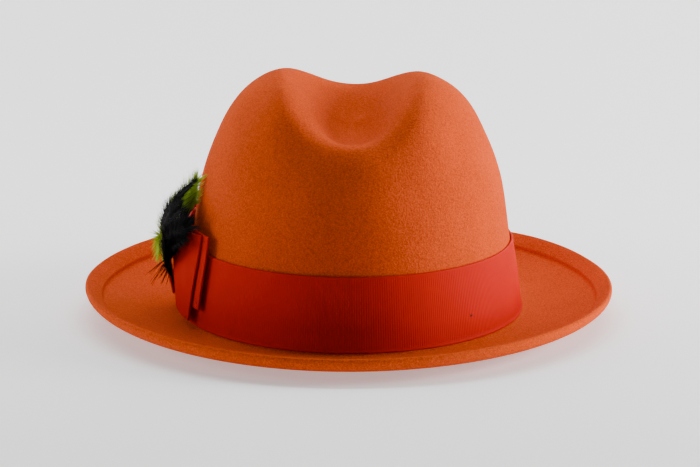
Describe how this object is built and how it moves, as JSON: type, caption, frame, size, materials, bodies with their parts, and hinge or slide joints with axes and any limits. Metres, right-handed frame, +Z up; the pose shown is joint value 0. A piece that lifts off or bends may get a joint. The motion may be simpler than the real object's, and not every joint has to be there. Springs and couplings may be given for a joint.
{
  "type": "felt trilby hat",
  "caption": "Felt trilby with a dented crown, a short turned-up brim with a rolled edge, a ribbon band with a flat bow, and a feather trim.",
  "frame": {"origin": "on the surface that the hat rests on, below the middle of its box", "axes": "+Z up; the front of the hat faces +Y and its back -Y; the bow and feathers are on the -X side, the wearer's left"},
  "size_m": [0.269, 0.3, 0.1236],
  "materials": {
    "felt": "brushed wool felt with a soft nap",
    "ribbon": "grosgrain ribbon with fine upright ribs and a low sheen",
    "black_feather": "black feather with a slight gloss",
    "lime_feather": "dyed lime green feather"
  },
  "bodies": {
    "root": {"felt_body": "felt", "ribbon_band": "ribbon", "bow_tail": "ribbon", "bow_panel": "ribbon", "bow_keeper": "ribbon", "feather_black": "black_feather", "feather_lime": "lime_feather"}
  },
  "joints": []
}
